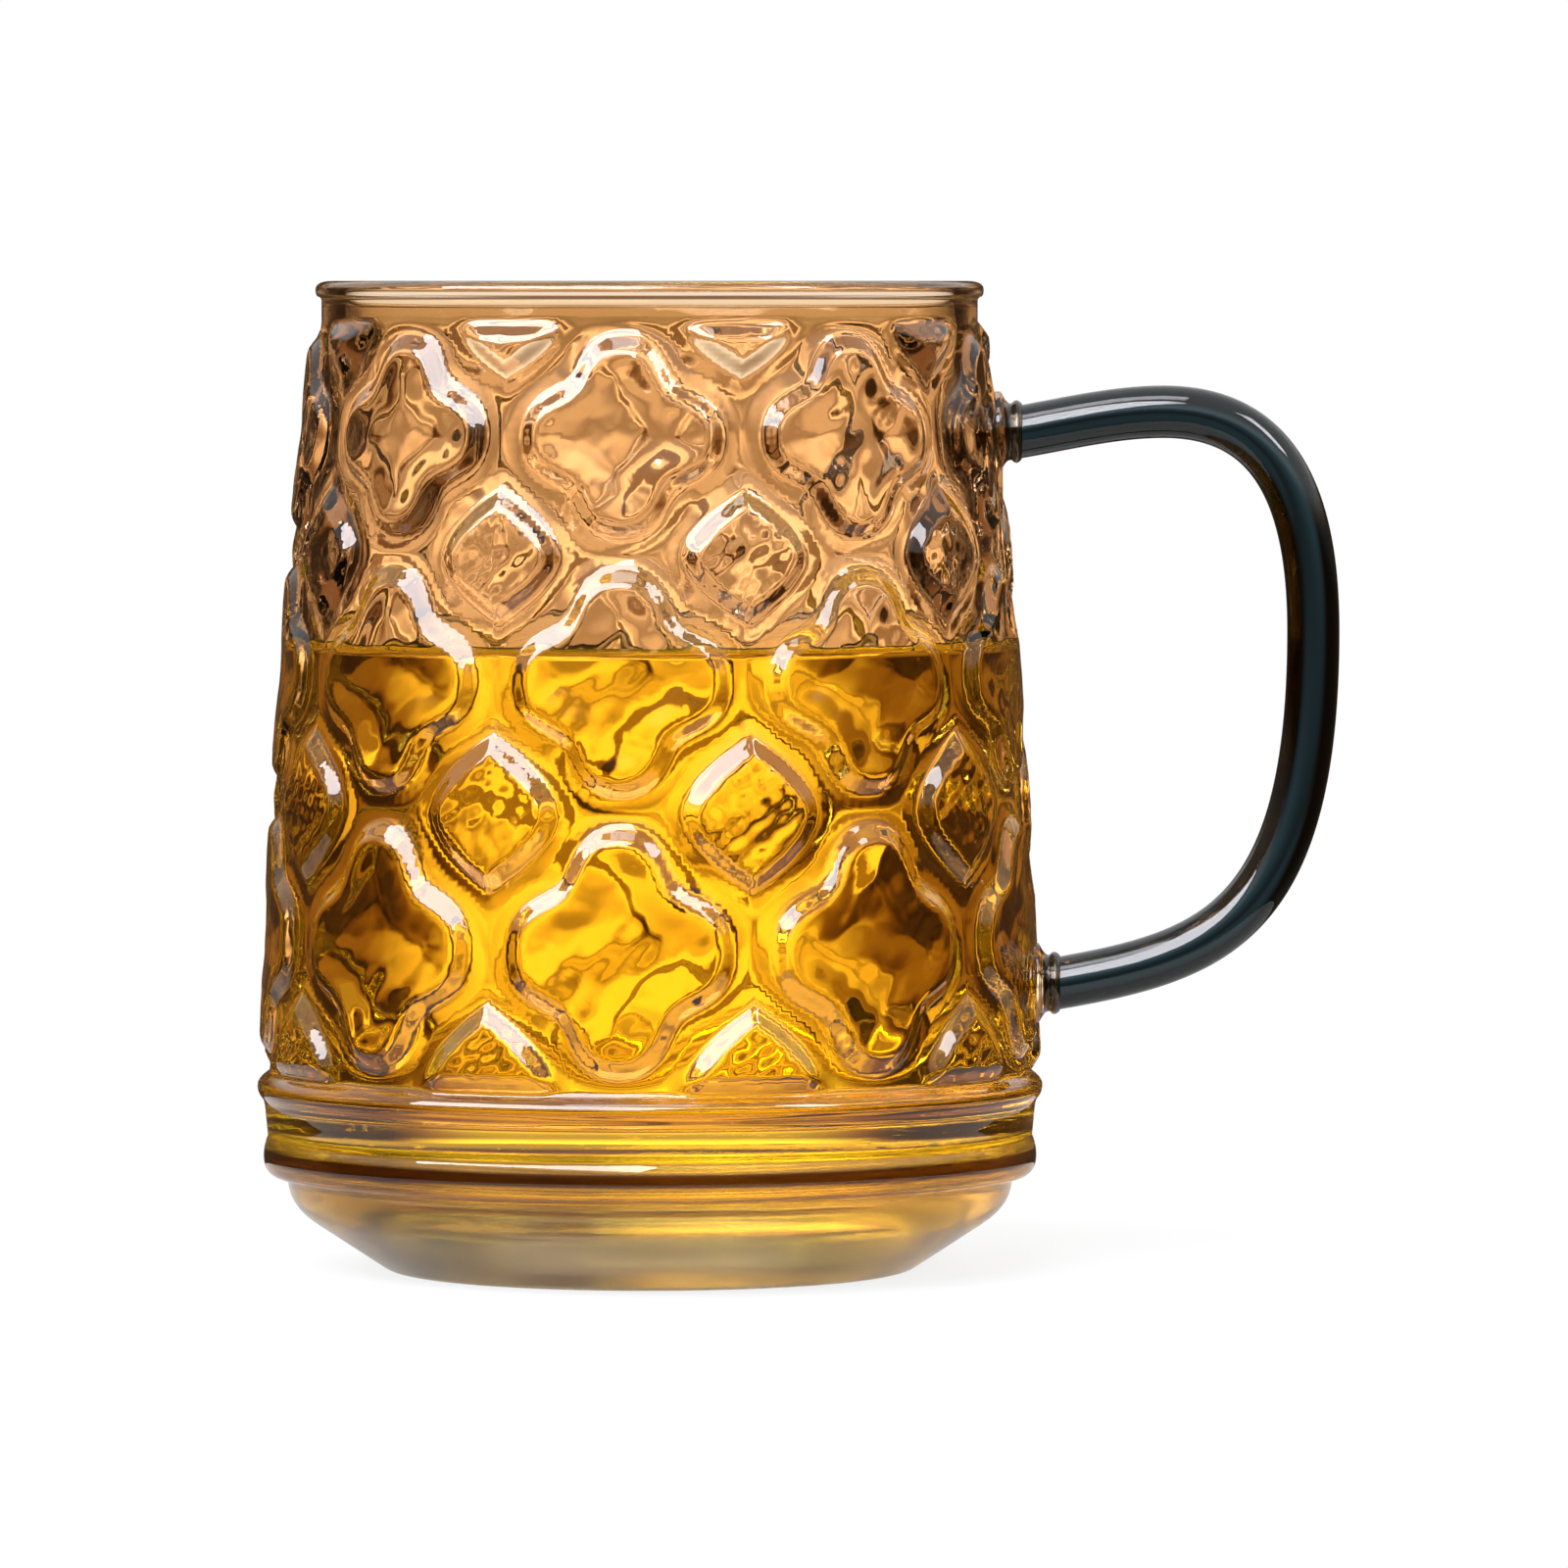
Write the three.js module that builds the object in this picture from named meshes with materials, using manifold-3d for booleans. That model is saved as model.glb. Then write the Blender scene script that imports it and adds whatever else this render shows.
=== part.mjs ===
// Glass mug: an amber mould-blown body with a quatrefoil lattice in relief, and
// a dark glass rod bent into a handle and welded to the body at two collars.
// Millimetres, +Z up. The foot stands on Z = 0, the body's axis is the Z axis,
// the front faces -Y and the handle lies in the XZ plane on the +X side.

import * as THREE from 'three';
import { mergeVertices } from 'three/addons/utils/BufferGeometryUtils.js';
import Module from 'manifold-3d';

// Body, outside
const bodyHeight = 115;
const neckRadius = 38.1;
const neckHeight = 2.7;
const lipHeight = 2;
const lipOverhang = 0.7;
const shoulderRadius = 44.3;
const wallBulge = 1;

// Body, inside
const wallThickness = 2.6;
const floorThickness = 9.5;
const innerCornerRadius = 8;

// Base, from the foot up to the lattice
const footRadius = 30.4;
const footEdge = 0.8;
const chamferRun = 8.7;
const chamferHeight = 5.7;
const hipRun = 3.1;
const hipHeight = 5.3;
const beadStep = 1.4;
const beadOverhang = 0.5;
const beadHeight = 4.7;
const bandSetOut = 0.2;
const bandFlare = 0.4;
const bandHeight = 4.2;
const ringOverhang = 1.4;
const ringHeight = 3.3;

// Relief lattice: rows and columns of quatrefoil medallions with small pointed cells between
const columnCount = 9;
const rowCount = 3;
const rowGrowth = 0.105;
const firstColumnTurn = -3.9;
const reliefHeight = 1.3;
const bevelWidth = 1.8;
const columnGap = 4.2;
const rowGap = 3.2;
const dishDepth = 0.3;
const dishSpread = 0.5;
const lobeDepth = 0.133;
const lobeFullness = 0.022;
const cellTipSetback = 6.2;
const cellSideSetback = 7;
const cellRoundness = 1.8;

// Handle rod and its weld collars
const rodDiameter = 6.1;
const handleReach = 80.3;
const upperRootDrop = 17.5;
const lowerRootHeight = 33.3;
const archRise = 2.3;
const upperArmLength = 16.5;
const gripDrop = 23.3;
const armSlope = 10;
const cornerPull = 0.68;
const lowerGripPull = 0.83;
const lowerArmPull = 0.62;
const collarLength = 2.4;
const collarFlare = 1.4;
const collarLand = 0.2;
const collarRing = 0.4;

// Fineness of the facets
const bodySegments = 36;
const curveSteps = 2;
const wallSteps = 4;
const medallionPoints = 24;
const cellPoints = 12;
const rodSides = 14;
const rodSteps = 40;
const collarSegments = 24;
const sameSpot = 1e-4;

const wasm = await Module();
wasm.setup();

// Heights and radii that follow from the driving sizes
const chamferTopRadius = footRadius + chamferRun;
const hipRadius = chamferTopRadius + hipRun;
const hipTop = chamferHeight + hipHeight;
const beadTop = hipTop + beadHeight;
const bandTop = beadTop + bandHeight;
const latticeBottom = bandTop + ringHeight;
const latticeTop = bodyHeight - lipHeight - neckHeight;
const latticeHeight = latticeTop - latticeBottom;
const rodRadius = rodDiameter / 2;
const upperRootHeight = bodyHeight - upperRootDrop;
const gripHeight = upperRootHeight - gripDrop;
const bevelHalf = bevelWidth / 2;

// Outside radius of the wall at the floor of the channels: a taper with a slight belly
function wallRadius(height) {
  const drop = (latticeTop - height) / latticeHeight;
  const taper = (shoulderRadius - neckRadius) * drop;
  return neckRadius + taper + 4 * wallBulge * drop * (1 - drop);
}

// A closed mesh with shared corners, as a solid that can be joined and cut
function solidOf(geometry) {
  geometry.deleteAttribute('normal');
  geometry.deleteAttribute('uv');
  const merged = mergeVertices(geometry, sameSpot);
  const corners = merged.getIndex().array;
  const triangles = [];
  for (let i = 0; i < corners.length; i += 3) {
    const [a, b, c] = corners.slice(i, i + 3);
    if (a !== b && b !== c && c !== a) triangles.push(a, b, c);
  }
  const mesh = new wasm.Mesh({
    numProp: 3,
    vertProperties: new Float32Array(merged.getAttribute('position').array),
    triVerts: new Uint32Array(triangles),
  });
  return new wasm.Manifold(mesh);
}

function geometryOf(solid) {
  const mesh = solid.getMesh();
  const geometry = new THREE.BufferGeometry();
  geometry.setAttribute('position', new THREE.BufferAttribute(mesh.vertProperties, 3));
  geometry.setIndex(new THREE.BufferAttribute(mesh.triVerts, 1));
  geometry.computeVertexNormals();
  return geometry;
}

function piece(name, solid, color, roughness) {
  const material = new THREE.MeshStandardMaterial({ color, roughness, metalness: 0 });
  const mesh = new THREE.Mesh(geometryOf(solid), material);
  mesh.name = name;
  return mesh;
}

// A profile of radius and height turned about the Z axis
function turned(profile, segments) {
  const geometry = new THREE.LatheGeometry(profile, segments);
  geometry.rotateX(Math.PI / 2);
  return solidOf(geometry);
}

// A profile of radius and length turned about a line along +X
function turnedAlongX(profile, x, height) {
  const geometry = new THREE.LatheGeometry(profile, collarSegments);
  geometry.rotateZ(-Math.PI / 2);
  geometry.translate(x, 0, height);
  return solidOf(geometry);
}

// The revolved wall: foot, chamfer, hip, bead, plain band, border ring, tapered wall, neck and lip
function plainBody() {
  const bandRadius = shoulderRadius + bandSetOut;
  const beadRadius = bandRadius + beadOverhang;
  const ringRadius = shoulderRadius + ringOverhang;
  const lipRadius = neckRadius + lipOverhang;
  const innerLipRadius = neckRadius - wallThickness;
  const innerFloorRadius = wallRadius(latticeBottom) - wallThickness;
  const chamferSlope = chamferHeight / chamferRun;
  const lipMiddle = bodyHeight - lipHeight / 2;

  const profile = new THREE.Path();
  profile.moveTo(0, 0);
  profile.lineTo(footRadius - footEdge, 0);
  profile.quadraticCurveTo(footRadius, 0, footRadius + footEdge, footEdge * chamferSlope);
  profile.lineTo(chamferTopRadius, chamferHeight);
  profile.quadraticCurveTo(hipRadius, chamferHeight + hipRun * chamferSlope, hipRadius, hipTop);
  profile.lineTo(hipRadius + beadStep, hipTop);
  profile.quadraticCurveTo(beadRadius, hipTop, beadRadius, hipTop + beadHeight / 2);
  profile.quadraticCurveTo(beadRadius, beadTop - beadHeight / 4, bandRadius, beadTop);
  profile.lineTo(bandRadius + bandFlare, bandTop);
  profile.quadraticCurveTo(ringRadius, bandTop, ringRadius, bandTop + ringHeight / 2);
  profile.quadraticCurveTo(ringRadius, latticeBottom - ringHeight / 4, shoulderRadius, latticeBottom);
  for (let step = 1; step <= wallSteps; step += 1) {
    const height = latticeBottom + latticeHeight * step / wallSteps;
    profile.lineTo(wallRadius(height), height);
  }
  profile.lineTo(neckRadius, bodyHeight - lipHeight);
  profile.quadraticCurveTo(lipRadius, bodyHeight - lipHeight, lipRadius, lipMiddle);
  profile.quadraticCurveTo(lipRadius, bodyHeight, neckRadius - wallThickness / 2, bodyHeight);
  profile.quadraticCurveTo(innerLipRadius, bodyHeight, innerLipRadius, lipMiddle);
  for (let step = wallSteps; step >= 0; step -= 1) {
    const height = latticeBottom + latticeHeight * step / wallSteps;
    profile.lineTo(wallRadius(height) - wallThickness, height);
  }
  const corner = Math.min(innerCornerRadius, latticeBottom - floorThickness);
  profile.lineTo(innerFloorRadius, floorThickness + corner);
  profile.absarc(innerFloorRadius - corner, floorThickness + corner, corner, 0, -Math.PI / 2, true);
  profile.lineTo(0, floorThickness);
  return turned(profile.getPoints(curveSteps), bodySegments);
}

// Height of a line across the lattice, counted in rows from its top; each row is taller than the last
function rowLine(row) {
  const reach = (rows) => rows * (1 + rowGrowth * rows / 2);
  return latticeTop - latticeHeight * reach(row) / reach(rowCount);
}

function halfRowHeight(row) {
  return (rowLine(row - 0.5) - rowLine(row + 0.5)) / 2;
}

const halfColumnAngle = Math.PI / columnCount;

// Four full round lobes with hollows between them
function medallionOutline(halfWidth, halfHeight) {
  const points = [];
  const tip = 1 + lobeDepth - lobeFullness;
  for (let i = 0; i < medallionPoints; i += 1) {
    const turn = 2 * Math.PI * i / medallionPoints;
    const reach = (1 + lobeDepth * Math.cos(4 * turn) - lobeFullness * Math.cos(8 * turn)) / tip;
    points.push([halfWidth * reach * Math.cos(turn), halfHeight * reach * Math.sin(turn)]);
  }
  return points;
}

// Two round sides that meet in a point above and below
function cellOutline(halfWidth, halfHeight) {
  const points = [];
  for (let i = 0; i < cellPoints; i += 1) {
    const turn = 2 * Math.PI * i / cellPoints;
    const up = Math.sin(turn);
    const across = Math.sign(Math.cos(turn)) * (1 - Math.pow(Math.abs(up), cellRoundness));
    points.push([halfWidth * across, halfHeight * up]);
  }
  return points;
}

// A raised pad on the wall: bevelled edge, flat or dished top, root sunk in the wall
function pad(makeOutline, dish, angle, height, halfWidth, halfHeight) {
  const girth = wallRadius(height);
  const root = wallThickness / 3;
  const rootSpread = bevelWidth * root / reliefHeight;
  const rings = [
    { inset: -rootSpread, share: 1, rise: -root },
    { inset: bevelWidth, share: 1, rise: reliefHeight },
  ];
  if (dish > 0) rings.push({ inset: bevelWidth, share: dishSpread, rise: reliefHeight - dish });
  const positions = [];
  const place = (across, up, rise) => {
    const turn = angle + across / girth;
    const radius = wallRadius(height + up) + rise;
    positions.push(radius * Math.sin(turn), -radius * Math.cos(turn), height + up);
  };
  let count = 0;
  for (const ring of rings) {
    const outline = makeOutline(halfWidth - ring.inset, halfHeight - ring.inset);
    outline.forEach(([across, up]) => place(ring.share * across, ring.share * up, ring.rise));
    count = outline.length;
  }
  const topCentre = positions.length / 3;
  place(0, 0, reliefHeight - dish);
  const rootCentre = topCentre + 1;
  place(0, 0, -root);

  const triangles = [];
  for (let i = 0; i < count; i += 1) {
    const next = (i + 1) % count;
    for (let ring = 0; ring + 1 < rings.length; ring += 1) {
      const outer = ring * count;
      const inner = outer + count;
      triangles.push(outer + i, outer + next, inner + next);
      triangles.push(outer + i, inner + next, inner + i);
    }
    const innermost = (rings.length - 1) * count;
    triangles.push(innermost + i, innermost + next, topCentre);
    triangles.push(next, i, rootCentre);
  }
  const geometry = new THREE.BufferGeometry();
  geometry.setAttribute('position', new THREE.Float32BufferAttribute(positions, 3));
  geometry.setIndex(triangles);
  return solidOf(geometry);
}

// The band of wall that carries the lattice; its sloped rims cut the outer cells off cleanly
function latticeBand() {
  const inside = neckRadius / 2;
  const outside = shoulderRadius + wallBulge + 2 * reliefHeight;
  const topRim = wallRadius(latticeTop) - bevelHalf;
  const bottomRim = wallRadius(latticeBottom) - bevelHalf;
  const slope = bevelWidth / reliefHeight;
  const profile = [
    new THREE.Vector2(inside, latticeBottom),
    new THREE.Vector2(bottomRim, latticeBottom),
    new THREE.Vector2(outside, latticeBottom + (outside - bottomRim) * slope),
    new THREE.Vector2(outside, latticeTop - (outside - topRim) * slope),
    new THREE.Vector2(topRim, latticeTop),
    new THREE.Vector2(inside, latticeTop),
    new THREE.Vector2(inside, latticeBottom),
  ];
  return turned(profile, bodySegments);
}

function lattice() {
  const pads = [];
  for (let column = 0; column < columnCount; column += 1) {
    const angle = THREE.MathUtils.degToRad(firstColumnTurn) + 2 * halfColumnAngle * column;
    for (let row = 0; row < rowCount; row += 1) {
      const height = rowLine(row + 0.5);
      const halfWidth = wallRadius(height) * halfColumnAngle - columnGap / 2;
      const halfHeight = halfRowHeight(row + 0.5) - rowGap / 2;
      pads.push(pad(medallionOutline, dishDepth, angle, height, halfWidth, halfHeight));
    }
    for (let row = 0; row <= rowCount; row += 1) {
      const height = rowLine(row);
      const halfWidth = wallRadius(height) * halfColumnAngle - cellSideSetback;
      const halfHeight = halfRowHeight(row) - cellTipSetback;
      pads.push(pad(cellOutline, 0, angle + halfColumnAngle, height, halfWidth, halfHeight));
    }
  }
  const joined = pads.reduce((all, next) => all.add(next));
  return joined.intersect(latticeBand());
}

// The flat seats where the weld collars stand, level with the tops of the pads
const upperSeat = wallRadius(upperRootHeight) + reliefHeight;
const lowerSeat = wallRadius(lowerRootHeight) + reliefHeight;
const flareRadius = rodRadius + collarFlare;

// A round boss that ends at the seat, or the room that the collar takes up beyond it
function seatDisc(seat, height, start, end) {
  const radius = flareRadius + collarLand;
  const profile = [
    new THREE.Vector2(0, start),
    new THREE.Vector2(radius, start),
    new THREE.Vector2(radius, end),
    new THREE.Vector2(0, end),
  ];
  return turnedAlongX(profile, seat, height);
}

function withSeat(body, seat, height) {
  const bossRoot = reliefHeight + wallThickness / 2;
  const boss = seatDisc(seat, height, -bossRoot, 0);
  const room = seatDisc(seat, height, 0, collarLength);
  return body.add(boss).subtract(room);
}

function mugBody() {
  const carved = plainBody().add(lattice());
  const withUpperSeat = withSeat(carved, upperSeat, upperRootHeight);
  return withSeat(withUpperSeat, lowerSeat, lowerRootHeight);
}

// A gob of glass that flares out on the wall, with a round ring at the end that takes the rod
function weldCollar(seat, height) {
  const neck = rodRadius + collarLand;
  const ringStart = collarLength / 2;
  const ringMiddle = (ringStart + collarLength) / 2;
  const profile = new THREE.Path();
  profile.moveTo(0, 0);
  profile.lineTo(flareRadius, 0);
  profile.lineTo(flareRadius, collarLand);
  profile.quadraticCurveTo(neck, collarLand, neck, ringStart);
  profile.quadraticCurveTo(neck + 2 * collarRing, ringMiddle, neck, collarLength);
  profile.lineTo(0, collarLength);
  return turnedAlongX(profile.getPoints(2 * curveSteps), seat, height);
}

// The rod's centre line: a rising upper arm, a round corner, a long grip and a sloped lower arm
function handlePath() {
  const tilt = THREE.MathUtils.degToRad(armSlope);
  const slope = new THREE.Vector2(Math.cos(tilt), Math.sin(tilt));
  const onPlane = (x, z) => new THREE.Vector3(x, 0, z);
  const along = (x, z, distance) => onPlane(x + slope.x * distance, z + slope.y * distance);
  const upperX = upperSeat + collarLength;
  const lowerX = lowerSeat + collarLength;
  const archX = upperX + upperArmLength;
  const archTop = upperRootHeight + archRise;
  const gripX = handleReach - rodRadius;
  const armPull = upperArmLength / 3;

  const path = new THREE.CurvePath();
  path.add(new THREE.LineCurve3(
    along(upperX, upperRootHeight, -rodDiameter),
    onPlane(upperX, upperRootHeight),
  ));
  path.add(new THREE.CubicBezierCurve3(
    onPlane(upperX, upperRootHeight),
    along(upperX, upperRootHeight, armPull),
    onPlane(archX - armPull, archTop),
    onPlane(archX, archTop),
  ));
  path.add(new THREE.CubicBezierCurve3(
    onPlane(archX, archTop),
    onPlane(archX + cornerPull * (gripX - archX), archTop),
    onPlane(gripX, gripHeight + cornerPull * (archTop - gripHeight)),
    onPlane(gripX, gripHeight),
  ));
  path.add(new THREE.CubicBezierCurve3(
    onPlane(gripX, gripHeight),
    onPlane(gripX, gripHeight - lowerGripPull * (gripHeight - lowerRootHeight)),
    along(lowerX, lowerRootHeight, lowerArmPull * (gripX - lowerX)),
    onPlane(lowerX, lowerRootHeight),
  ));
  path.add(new THREE.LineCurve3(
    onPlane(lowerX, lowerRootHeight),
    along(lowerX, lowerRootHeight, -rodDiameter),
  ));
  return path;
}

// A block that takes the rod's raw end off flush with its collar
function endCut(seat, height) {
  const size = 4 * rodDiameter;
  const geometry = new THREE.BoxGeometry(size, size, size);
  geometry.translate(seat + collarLength - size / 2, 0, height);
  return solidOf(geometry);
}

function handleRod() {
  const section = new THREE.Shape();
  for (let side = 0; side < rodSides; side += 1) {
    const turn = 2 * Math.PI * side / rodSides;
    const point = new THREE.Vector2(rodRadius * Math.cos(turn), rodRadius * Math.sin(turn));
    if (side === 0) section.moveTo(point.x, point.y);
    else section.lineTo(point.x, point.y);
  }
  const rod = solidOf(new THREE.ExtrudeGeometry(section, {
    steps: rodSteps,
    bevelEnabled: false,
    extrudePath: handlePath(),
  }));
  return rod
    .subtract(endCut(upperSeat, upperRootHeight))
    .subtract(endCut(lowerSeat, lowerRootHeight));
}

const amber = 0xd9a05a;
const weldAmber = 0xb8752e;
const smokeBlue = 0x1b2a30;

const mug = new THREE.Group();
mug.name = 'glass_mug';
mug.add(piece('mug_body', mugBody(), amber, 0.05));
mug.add(piece('handle', handleRod(), smokeBlue, 0.04));
mug.add(piece('upper_weld_collar', weldCollar(upperSeat, upperRootHeight), weldAmber, 0.06));
mug.add(piece('lower_weld_collar', weldCollar(lowerSeat, lowerRootHeight), weldAmber, 0.06));

export default mug;
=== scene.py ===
"""Looks of the glass mug: relief-moulded amber body, dark rod handle, weld collars and the drink.

Everything is in metres in the part's own frame: foot on Z = 0, body axis on Z, handle towards +X.
"""

import math

import bpy
import numpy as np
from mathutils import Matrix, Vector


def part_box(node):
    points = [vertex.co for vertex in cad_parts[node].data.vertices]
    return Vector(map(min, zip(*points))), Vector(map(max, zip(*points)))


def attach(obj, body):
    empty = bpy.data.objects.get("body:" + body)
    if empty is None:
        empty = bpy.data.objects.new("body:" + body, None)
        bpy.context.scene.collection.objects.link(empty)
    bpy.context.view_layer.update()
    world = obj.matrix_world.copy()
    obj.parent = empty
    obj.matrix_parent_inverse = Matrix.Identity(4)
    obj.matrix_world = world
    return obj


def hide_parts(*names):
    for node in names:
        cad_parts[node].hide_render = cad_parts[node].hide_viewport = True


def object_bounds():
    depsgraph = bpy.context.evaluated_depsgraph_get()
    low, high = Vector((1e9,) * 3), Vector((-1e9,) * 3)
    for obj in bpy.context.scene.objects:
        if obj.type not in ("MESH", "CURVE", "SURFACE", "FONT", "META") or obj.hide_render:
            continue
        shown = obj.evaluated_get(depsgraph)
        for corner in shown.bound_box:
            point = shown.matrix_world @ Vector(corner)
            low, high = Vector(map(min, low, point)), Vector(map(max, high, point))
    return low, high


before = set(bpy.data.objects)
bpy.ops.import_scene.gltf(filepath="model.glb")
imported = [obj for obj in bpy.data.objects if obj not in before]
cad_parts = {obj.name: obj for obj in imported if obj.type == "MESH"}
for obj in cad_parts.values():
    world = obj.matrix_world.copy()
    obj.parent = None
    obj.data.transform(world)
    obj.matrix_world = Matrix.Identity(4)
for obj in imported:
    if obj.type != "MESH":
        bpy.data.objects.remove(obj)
cad_low, cad_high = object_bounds()

MM = 0.001

# Body sizes, as in the construction
BODY_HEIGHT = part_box("mug_body")[1].z
NECK_RADIUS = 38.1 * MM
NECK_HEIGHT = 2.7 * MM
LIP_HEIGHT = 2.0 * MM
LIP_OVERHANG = 0.7 * MM
SHOULDER_RADIUS = 44.3 * MM
WALL_BULGE = 1.0 * MM
WALL_THICKNESS = 2.6 * MM
FLOOR_THICKNESS = 9.5 * MM
INNER_CORNER_RADIUS = 8.0 * MM
FOOT_RADIUS = 30.4 * MM
FOOT_EDGE = 0.8 * MM
CHAMFER_RUN = 8.7 * MM
CHAMFER_HEIGHT = 5.7 * MM
HIP_RUN = 3.1 * MM
HIP_HEIGHT = 5.3 * MM
BEAD_STEP = 1.4 * MM
BEAD_OVERHANG = 0.5 * MM
BEAD_HEIGHT = 4.7 * MM
BAND_SET_OUT = 0.2 * MM
BAND_FLARE = 0.4 * MM
BAND_HEIGHT = 4.2 * MM
RING_OVERHANG = 1.4 * MM
RING_HEIGHT = 3.3 * MM

# Relief lattice, as in the construction
COLUMN_COUNT = 9
ROW_COUNT = 3
ROW_GROWTH = 0.105
FIRST_COLUMN_TURN = math.radians(-3.9)
RELIEF_HEIGHT = 1.3 * MM
BEVEL_WIDTH = 1.8 * MM
COLUMN_GAP = 4.2 * MM
ROW_GAP = 3.2 * MM
DISH_DEPTH = 0.3 * MM
LOBE_DEPTH = 0.133
LOBE_FULLNESS = 0.022
CELL_TIP_SETBACK = 6.2 * MM
CELL_SIDE_SETBACK = 7.0 * MM
CELL_ROUNDNESS = 1.8

# How the fire polish softens the moulded pattern
BEVEL_ROUNDING = 0.2
FILLET = 0.3 * MM
DISH_RUN = 5.0 * MM
CHANNEL_DEPTH = 0.15 * MM
CHANNEL_RUN = 2.4 * MM
OUTLINE_POINTS = 72
FACING_STEP = 0.1 * MM

# Handle rod and welds, as in the construction
ROD_RADIUS = 3.05 * MM
UPPER_ROOT_HEIGHT = BODY_HEIGHT - 17.5 * MM
LOWER_ROOT_HEIGHT = 33.3 * MM
ARCH_RISE = 2.3 * MM
UPPER_ARM_LENGTH = 16.5 * MM
GRIP_HEIGHT = UPPER_ROOT_HEIGHT - 23.3 * MM
ARM_SLOPE = math.radians(10)
CORNER_PULL = 0.68
LOWER_GRIP_PULL = 0.83
LOWER_ARM_PULL = 0.62
COLLAR_LENGTH = 2.4 * MM
COLLAR_FLARE = 1.4 * MM
COLLAR_LAND = 0.2 * MM
COLLAR_RING = 0.4 * MM
WELD_DEPTH = 1.0 * MM

# The drink and how it meets the glass
DRINK_LEVEL = 72.6 * MM
DRINK_OVERLAP = 0.12 * MM
MENISCUS_HEIGHT = 0.9 * MM
MENISCUS_WIDTH = 2.2 * MM
MENISCUS_STEPS = 7

# How closely the inside of the blown wall follows the relief outside, and how it and the pattern ripple.
# Each wave has its length in mm, heading and phase
INNER_FOLLOW = 0.2
INNER_SOFTNESS = 5.0 * MM
RIPPLE_HEIGHT = 0.05 * MM
RIPPLE_WAVES = (
    (5.1, 0.62, 0.4),
    (6.3, -0.91, 1.9),
    (4.4, 1.43, 3.1),
    (7.6, 2.2, 0.7),
    (3.7, -1.9, 5.2),
)
SWIRL_HEIGHT = 0.035 * MM
SWIRL_WAVES = ((4.6, 1.2, 0.3), (3.4, 1.9, 2.2), (5.7, 0.4, 4.1), (2.9, 2.6, 1.3))
PEBBLE_HEIGHT = 0.05 * MM
PEBBLE_WAVES = ((2.3, 0.3, 1.1), (2.7, 1.3, 0.2), (2.1, 2.2, 2.6), (3.1, -0.8, 4.0))

# How much the colour and the polish of the glass vary from place to place
CLOUD_DETAIL = 3.0
CLOUD_SPAN = (0.35, 0.75)
TINT_SWING = 0.03
POLISH_SWING = (0.4, 1.6)
SURFACE_RIPPLE_HEIGHT = 0.4 * MM

# Noise scale and strength of the ripple on each surface
BODY_RIPPLE = (60, 0.004)
ROD_RIPPLE = (90, 0.01)
WELD_RIPPLE = (120, 0.05)
DRINK_RIPPLE = (20, 0.0)

GLASS_IOR = 1.5
DRINK_IOR = 1.333

# Shades of the glass by height: amber with painted light and shade. The foot's dark grey is partly
# deeper amber in the thick foot and partly a painted reflection of the table. The near-black bead, the
# dark ring and the darker lip are painted shade. The pale band and the lighter amber where the drink
# stands are painted light. Each shade has its height, colour and roughness
AMBER_SHADES_WITH_PAINTED_LIGHT = (
    # the foot: dark grey, partly deeper amber and partly a painted reflection of the table
    (0.0 * MM, (0.24, 0.17, 0.10), 0.14),
    (9.0 * MM, (0.36, 0.21, 0.085), 0.10),
    (11.5 * MM, (0.66, 0.30, 0.09), 0.05),
    (12.6 * MM, (0.50, 0.17, 0.04), 0.03),
    # the bead: near black, a painted shade
    (12.9 * MM, (0.02, 0.003, 0.001), 0.02),
    (14.6 * MM, (0.02, 0.003, 0.001), 0.02),
    (14.9 * MM, (0.85, 0.46, 0.20), 0.02),
    # the band: pale, a painted light
    (15.6 * MM, (1.0, 0.60, 0.26), 0.02),
    (19.0 * MM, (1.0, 0.60, 0.26), 0.02),
    # the ring: dark, a painted shade
    (20.4 * MM, (0.70, 0.26, 0.06), 0.02),
    (22.6 * MM, (0.60, 0.20, 0.04), 0.02),
    # where the drink stands: lighter amber, a painted light
    (24.0 * MM, (0.90, 0.395, 0.105), 0.02),
    (66.0 * MM, (0.88, 0.385, 0.10), 0.02),
    (78.0 * MM, (0.71, 0.335, 0.115), 0.02),
    (108.0 * MM, (0.63, 0.29, 0.095), 0.02),
    # the lip: darker, a painted shade
    (110.5 * MM, (0.49, 0.23, 0.07), 0.02),
    (112.5 * MM, (0.49, 0.23, 0.07), 0.02),
    (113.5 * MM, (0.52, 0.31, 0.17), 0.02),
)
CLEAR_SHADES = ((0.0, (0.97, 0.98, 0.98), 0.01),)
WELD_SHADES = ((0.0, (0.95, 0.85, 0.7), 0.03),)

# Colours that deepen with the thickness: what passes, and the density per metre
WELD_COLOUR = ((0.93, 0.8, 0.58), 150)
SMOKE_COLOUR = ((0.03, 0.19, 0.23), 840)
DRINK_COLOUR = ((0.993, 0.965, 0.1), 37)

# The studio that the glass shows and mirrors, with angles in degrees from straight behind the mug and
# from level
BACKDROP_TURN = 0.3
BACKDROP_FADE = (-7.5, 0.5)
BACKDROP_LEVELS = (2.8, 0.8)
GLOW_START = (0.5, 3.5)
GLOW_LEVEL = 1.5
FLAG_START = (8.5, 22.5)
FLAG_BOTTOM = (-4.0, -8.0)
FLAG_BOTTOM_LEVEL = 0.42
FLAG_END = (55.0, 80.0)
FLAG_LEVEL = 0.035
ROOM_LEVEL = 0.08
MIRRORED_ROOM_LEVEL = 0.08
TABLE_START = (-9.0, -15.0)
TABLE_LEVEL = 0.6
CEILING_START = (8.0, 20.0)
CEILING_LEVEL = 0.35
MIRRORED_CEILING_LEVEL = 1.0

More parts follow.
